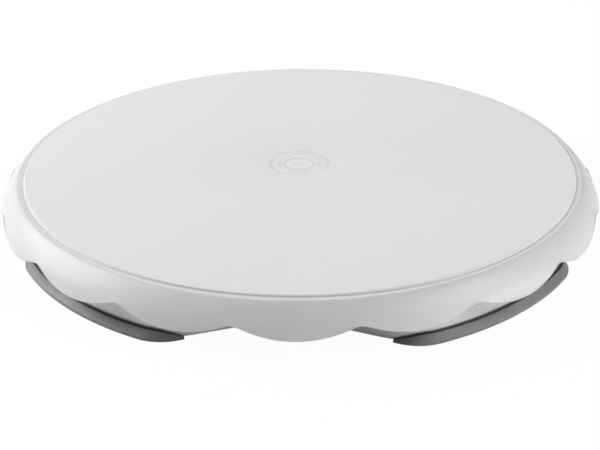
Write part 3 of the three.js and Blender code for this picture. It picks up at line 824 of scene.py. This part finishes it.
for i in range(4):
    race_screw(f"screw-lower-{i + 1}", LOWER_SCREW_ANGLES[i], False,
               f"lower_race_screw_{i + 1}", "base")
    race_screw(f"screw-upper-{i + 1}", UPPER_SCREW_ANGLES[i], True,
               f"upper_race_screw_{i + 1}", "turntable")


def cage_slot(angle):
    """A slot tool with round ends, bent along the ring of balls."""
    half_straight, end_r = 2.6, 1.3
    low, high = [], []
    for k in range(24):
        u = 2 * math.pi * k / 24
        along = half_straight * math.copysign(1, math.cos(u)) + end_r * math.cos(u)
        x, y = polar(RACE_R + end_r * math.sin(u), angle + math.degrees(along / RACE_R))
        low.append((x, y, 20.0))
        high.append((x, y, 24.0))
    return stack_solid("slot", [np.array(low), np.array(high)])


def build_cage():
    low, high = BALL_Z - 0.8, BALL_Z + 0.8
    section = rounded([(55.4, low, 0.3), (64.6, low, 0.3), (64.6, high, 0.3),
                       (55.4, high, 0.3)], 3, closed=True)
    ob = lathe("cage", section, 288, closed=True, smooth=32)
    # each ball pocket has a narrower waist at mid height
    pocket = [(0, 19), (2.95, 19), (2.95, 21.3), (2.68, 21.6), (2.68, 22.4), (2.95, 22.7),
              (2.95, 25), (0, 25)]
    combine(ob, "DIFFERENCE", lathes_at("pocket", pocket, 48, RACE_R, BALL_ANGLES), 32)
    # lightening slots between the pockets
    combine(ob, "DIFFERENCE", [cage_slot(a + 15) for a in BALL_ANGLES], 32)
    finish_piece(ob, "cage", "ball_cage", MAT_NYLON)


build_cage()


def build_ball(number, angle):
    profile = [(BALL_R * math.sin(t), BALL_Z - BALL_R * math.cos(t))
               for t in np.linspace(0, math.pi, 33)]
    ob = lathe(f"ball-{number:02d}", profile, 48, smooth=60, at=polar(RACE_R, angle))
    node = f"ball_{number:02d}"
    finish_piece(ob, node, node, MAT_BALL)


for i, ball_angle in enumerate(BALL_ANGLES):
    build_ball(i + 1, ball_angle)

# ------------------------------------------------------------------ centre
# closed sections and the spindle's open profile, as (r, z, corner radius)
BUSH = [
    (5.1, BUSH_FOOT_Z, 0.3), (BUSH_R, BUSH_FOOT_Z, 0.4), (BUSH_R, DECK_Z, 0.15),
    (9.6, DECK_Z, 0.15), (9.6, 19.4, 0.4), (5.1, 19.4, 0.4),
]
WASHER = [(5.3, 6.6, 0.25), (11, 6.6, 0.25), (11, 7.9, 0.25), (5.3, 7.9, 0.25)]
# clip groove near the foot, flange under the hub, then the bore for the screw
SPINDLE = [
    (0, 4, 0), (4.9, 4, 0.6), (5, 5.3, 0.1), (4, 5.3, 0.1), (4, 6.5, 0.1), (5, 6.5, 0.1),
    (5, 19.8, 0.3), (8, 19.8, 0.4), (8, HUB_Z, 0.3), (2.15, HUB_Z, 0.2), (2.15, 12.4, 0),
    (0, 11.6, 0),
]

bush = lathe("bush", rounded(BUSH, 3, closed=True), 96, closed=True)
finish_piece(bush, "base", "bushing", MAT_NYLON)
washer = lathe("washer", rounded(WASHER, 3, closed=True), 96, closed=True)
finish_piece(washer, "base", "thrust_washer", MAT_NYLON)
pin = lathe("pin", rounded(SPINDLE), 96)
finish_piece(pin, "turntable", "spindle", MAT_ZINC)


def build_pin_screw():
    """The screw down into the spindle, with a domed head."""
    profile = [(0, 13), (1.2, 13), (1.7, 13.6)] + thread(1.7, 2.0, 13.8, 24.0, pitch=0.7)
    profile += [(1.95, 24.2), (1.95, 28.0), (2.1, SCREW_SEAT_Z), (3.8, SCREW_SEAT_Z),
                (4.0, 28.4), (4.0, 29.1), (3.85, 29.5), (3.4, 29.85), (2.6, 30.07), (0, 30.15)]
    ob = lathe("pin-screw", profile, 48, smooth=38)
    combine(ob, "DIFFERENCE", cross_tools(30.1, depth=1.3), 38)
    finish_piece(ob, "turntable", "spindle_screw", MAT_ZINC)


build_pin_screw()


def build_clip():
    """C-shaped clip of flat spring steel, open towards the front."""
    half_gap = 38
    angles = np.linspace(-90 + half_gap, 270 - half_gap, 61)
    loop = [polar(7.6, a) for a in angles] + [polar(4.15, a) for a in angles[::-1]]
    rings = []
    # (z, how far the edge is drawn in)
    for z, inset in ((5.4, 0.12), (5.5, 0.0), (6.3, 0.0), (6.4, 0.12)):
        points = []
        for i, (x, y) in enumerate(loop):
            before, after = loop[i - 1], loop[(i + 1) % len(loop)]
            along = np.array([after[0] - before[0], after[1] - before[1]])
            along /= np.linalg.norm(along)
            points.append((x - along[1] * inset, y + along[0] * inset, z))
        rings.append(np.array(points))
    ob = stack_solid("clip", rings, 30)
    finish_piece(ob, "turntable", "retaining_clip", MAT_ZINC)


build_clip()


# ------------------------------------------------------------------ floor
def floor_material():
    """Seen directly, mostly paper white with a faint trace of the shade on it;
    it bounces light like plain paper."""
    shader = Shader("floor_white")
    shader.colour(shader.noise(scale=2.0, detail=3),
                  low=(0.3, gray(0.93)), high=(0.7, gray(0.95)))
    shader.set({"Roughness": 0.9, "Specular IOR Level": 0.0})
    glow = shader.node("ShaderNodeEmission", {"Color": (1, 1, 1, 1), "Strength": 1.0})
    path = shader.node("ShaderNodeLightPath")
    share = shader.node("ShaderNodeMath")
    share.operation = "MULTIPLY"
    share.inputs[1].default_value = 0.96
    shader.link(path.outputs["Is Camera Ray"], share.inputs[0])
    both = shader.node("ShaderNodeMixShader")
    shader.link(share.outputs[0], both.inputs[0])
    shader.link(shader.bsdf.outputs[0], both.inputs[1])
    shader.link(glow.outputs[0], both.inputs[2])
    shader.link(both.outputs[0], shader.output.inputs[0])
    return shader.material


FLOOR_HALF, FLOOR_Z = 9000, -0.05
floor = mesh("floor", [(x * FLOOR_HALF, y * FLOOR_HALF, FLOOR_Z)
                       for x, y in ((-1, -1), (1, -1), (1, 1), (-1, 1))], [(0, 1, 2, 3)])
floor.data.materials.append(floor_material())


# ------------------------------------------------------------------ light
def build_world():
    """White to the camera, no light on the scene."""
    world = bpy.data.worlds.new("studio")
    scene.world = world
    world.use_nodes = True
    tree = world.node_tree
    tree.nodes.clear()
    output = add_node(tree, "ShaderNodeOutputWorld")
    mix = add_node(tree, "ShaderNodeMixShader")
    backdrop = add_node(tree, "ShaderNodeBackground", {"Color": (1, 1, 1, 1), "Strength": 1.0})
    ambient = add_node(tree, "ShaderNodeBackground",
                       {"Color": (0.97, 0.98, 1.0, 1), "Strength": 0.0})
    path = add_node(tree, "ShaderNodeLightPath")
    tree.links.new(path.outputs["Is Camera Ray"], mix.inputs[0])
    tree.links.new(ambient.outputs[0], mix.inputs[1])
    tree.links.new(backdrop.outputs[0], mix.inputs[2])
    tree.links.new(mix.outputs[0], output.inputs[0])


def area(name, at, size, power):
    """A rectangular light aimed at the turntable."""
    data = bpy.data.lights.new(name, "AREA")
    data.shape = "RECTANGLE"
    data.size, data.size_y = size
    data.energy = power
    ob = bpy.data.objects.new(name, data)
    scene.collection.objects.link(ob)
    ob.location = at
    ob.visible_camera = False
    ob.rotation_mode = "QUATERNION"
    ob.rotation_quaternion = (Vector((0, 0, 0.02)) - Vector(at)).to_track_quat("-Z", "Y")


build_world()
area("soft_left", at=(-1.5, 0.2, 0.9), size=(1.2, 1.2), power=34.5)
area("soft_back", at=(0.0, 1.6, 1.2), size=(1.8, 0.9), power=9.6)
area("soft_back_left", at=(-1.4, 1.2, 0.3), size=(0.9, 0.3), power=1.3)
area("soft_right", at=(1.5, -0.6, 1.25), size=(1.0, 0.6), power=17.0)
area("soft_right_low", at=(1.6, -0.5, 0.3), size=(0.9, 0.4), power=10.8)
area("soft_front_low", at=(0.1, -1.8, 0.22), size=(1.6, 0.3), power=0.7)

# ------------------------------------------------------------------ camera
CAMERA_TURN = rad(2.5)         # round the turntable's axis from the front
CAMERA_BACK = 0.738297066456   # metres from the axis
CAMERA_RISE = 0.324844080816   # metres above the shoulder
PITCH, YAW, ROLL = 0.456741093, -0.000127816, -0.0075    # radians


def build_camera():
    spin = Matrix.Rotation(CAMERA_TURN, 3, "Z")
    forward = spin @ Vector((math.sin(YAW) * math.cos(PITCH), math.cos(YAW) * math.cos(PITCH),
                             -math.sin(PITCH)))
    level = spin @ Vector((math.cos(YAW), -math.sin(YAW), 0))
    upright = level.cross(forward)
    right = math.cos(ROLL) * level + math.sin(ROLL) * upright
    up = -math.sin(ROLL) * level + math.cos(ROLL) * upright
    place = (spin @ Vector((0, -CAMERA_BACK, 0))
             + Vector((0, 0, CAMERA_RISE + SHOULDER_Z / 1000)))
    data = bpy.data.cameras.new("camera")
    data.sensor_fit = "HORIZONTAL"
    data.sensor_width = 36.0
    data.lens = 86.7270378
    data.clip_start, data.clip_end = 0.01, 60
    camera = bpy.data.objects.new("camera", data)
    scene.collection.objects.link(camera)
    rows = [(right[i], up[i], -forward[i], place[i]) for i in range(3)]
    camera.matrix_world = Matrix((*rows, (0, 0, 0, 1)))
    scene.camera = camera


build_camera()

scene.view_settings.view_transform = "Standard"
scene.view_settings.look = "None"
scene.view_settings.exposure = 0
scene.view_settings.gamma = 1
